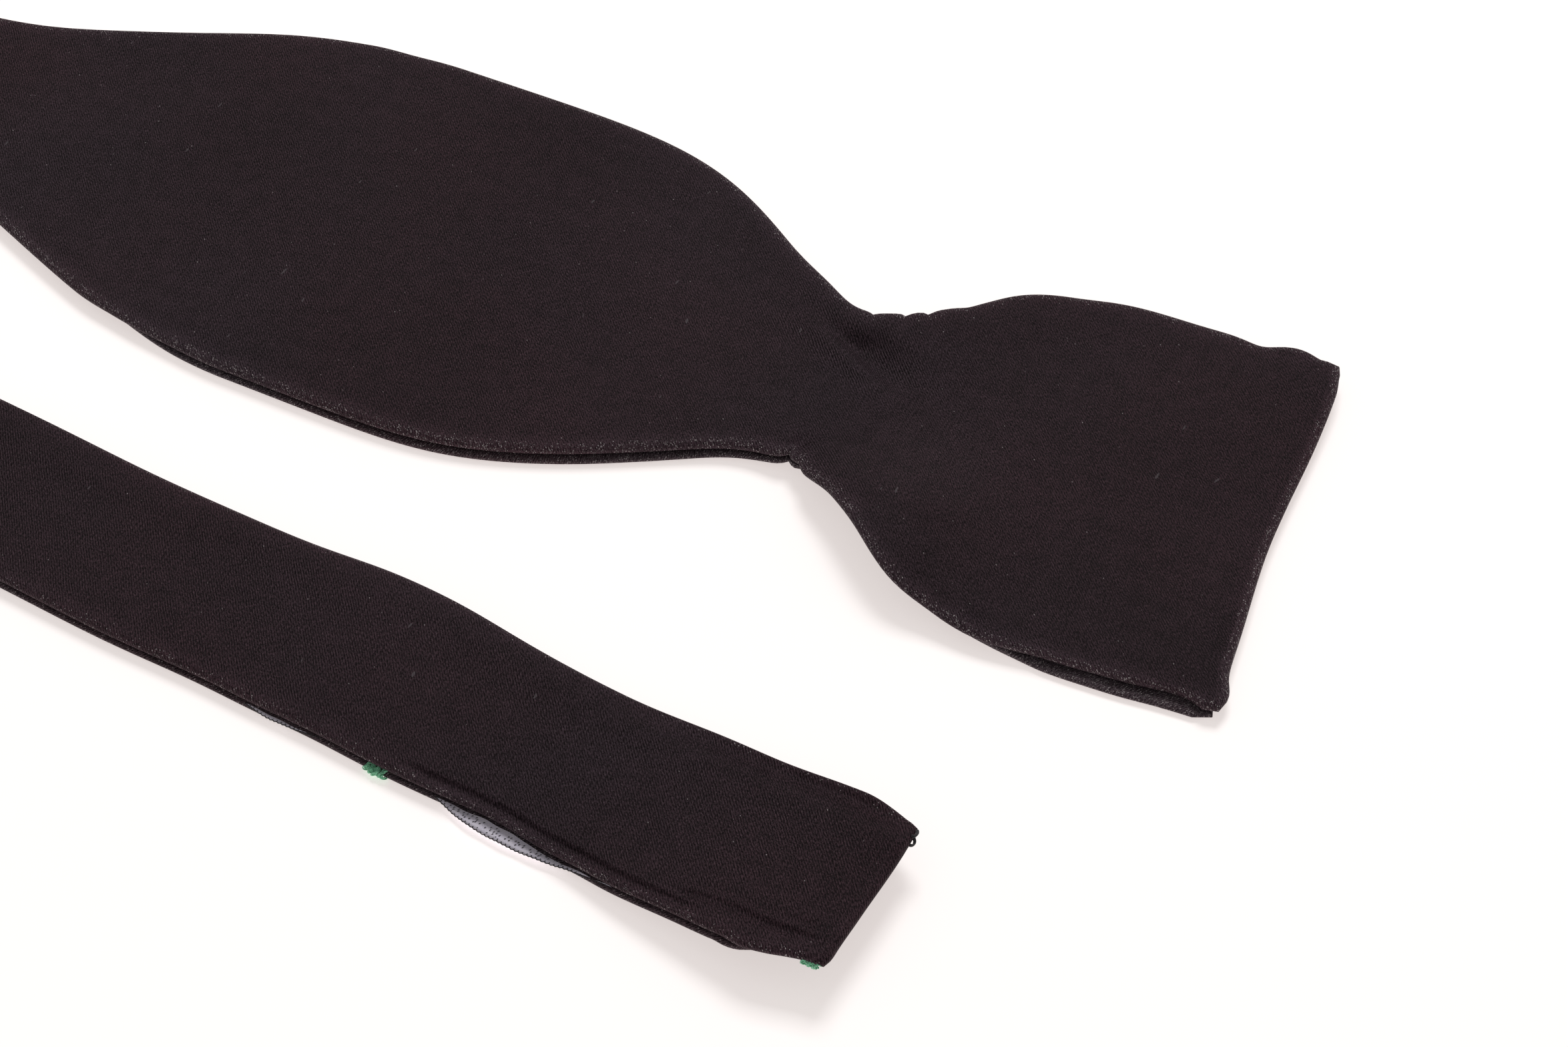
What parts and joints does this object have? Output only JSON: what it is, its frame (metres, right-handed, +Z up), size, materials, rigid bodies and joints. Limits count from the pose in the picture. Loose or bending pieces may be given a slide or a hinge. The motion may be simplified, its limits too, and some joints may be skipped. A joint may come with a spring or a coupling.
{
  "type": "bow tie",
  "caption": "Black satin self-tie bow tie with one shaped blade and a plain square-ended band, folded flat with its long lower seam partly open.",
  "frame": {"origin": "middle of the cross strip's underside, on the table", "axes": "+X along the two legs towards their free ends, +Y from the tail towards the blade, +Z up"},
  "size_m": [0.4124, 0.1254, 0.0055],
  "materials": {
    "black_satin": "satin with fine diagonal ribs",
    "canvas": "matt woven",
    "pale_backing": "matt fused",
    "overlock_thread": "matt thread",
    "green_thread": "soft sheen thread"
  },
  "bodies": {
    "cross_strip": {"turn_front_satin": "black_satin", "turn_canvas": "canvas", "turn_fused_backing": "pale_backing", "turn_back_satin": "black_satin"},
    "blade_leg": {"blade_front_satin": "black_satin", "blade_canvas": "canvas", "blade_fused_backing": "pale_backing", "blade_back_satin": "black_satin"},
    "flared_tip": {"tip_front_satin": "black_satin", "tip_canvas": "canvas", "tip_fused_backing": "pale_backing", "tip_back_satin": "black_satin"},
    "tail_leg": {"tail_front_satin": "black_satin", "tail_canvas": "canvas", "tail_fused_backing": "pale_backing", "tail_back_satin": "black_satin", "tail_overlock_edge": "overlock_thread"},
    "square_end": {"end_front_satin": "black_satin", "end_canvas": "canvas", "end_fused_backing": "pale_backing", "end_back_satin": "black_satin", "end_overlock_edge": "overlock_thread", "long_green_tack": "green_thread", "corner_green_tack": "green_thread", "overlock_thread_loop": "overlock_thread"}
  },
  "joints": [
    {"name": "blade_fold", "type": "hinge", "parent": "cross_strip", "child": "blade_leg", "pos_m": [0, 0.02385, 0.00275], "axis": [-0.6931, -0.7209, 0], "range_deg": [0, 180]},
    {"name": "waist_fold", "type": "hinge", "parent": "blade_leg", "child": "flared_tip", "pos_m": [0.32975, 0.03681, 0.00275], "axis": [0.0393, -0.9992, 0], "range_deg": [0, 165]},
    {"name": "tail_fold", "type": "hinge", "parent": "cross_strip", "child": "tail_leg", "pos_m": [0, -0.02385, 0.00275], "axis": [0.6931, -0.7209, 0], "range_deg": [0, 180]},
    {"name": "end_lift", "type": "hinge", "parent": "tail_leg", "child": "square_end", "pos_m": [0.30447, -0.03581, 0.00275], "axis": [-0.0393, -0.9992, 0], "range_deg": [0, 120]}
  ]
}
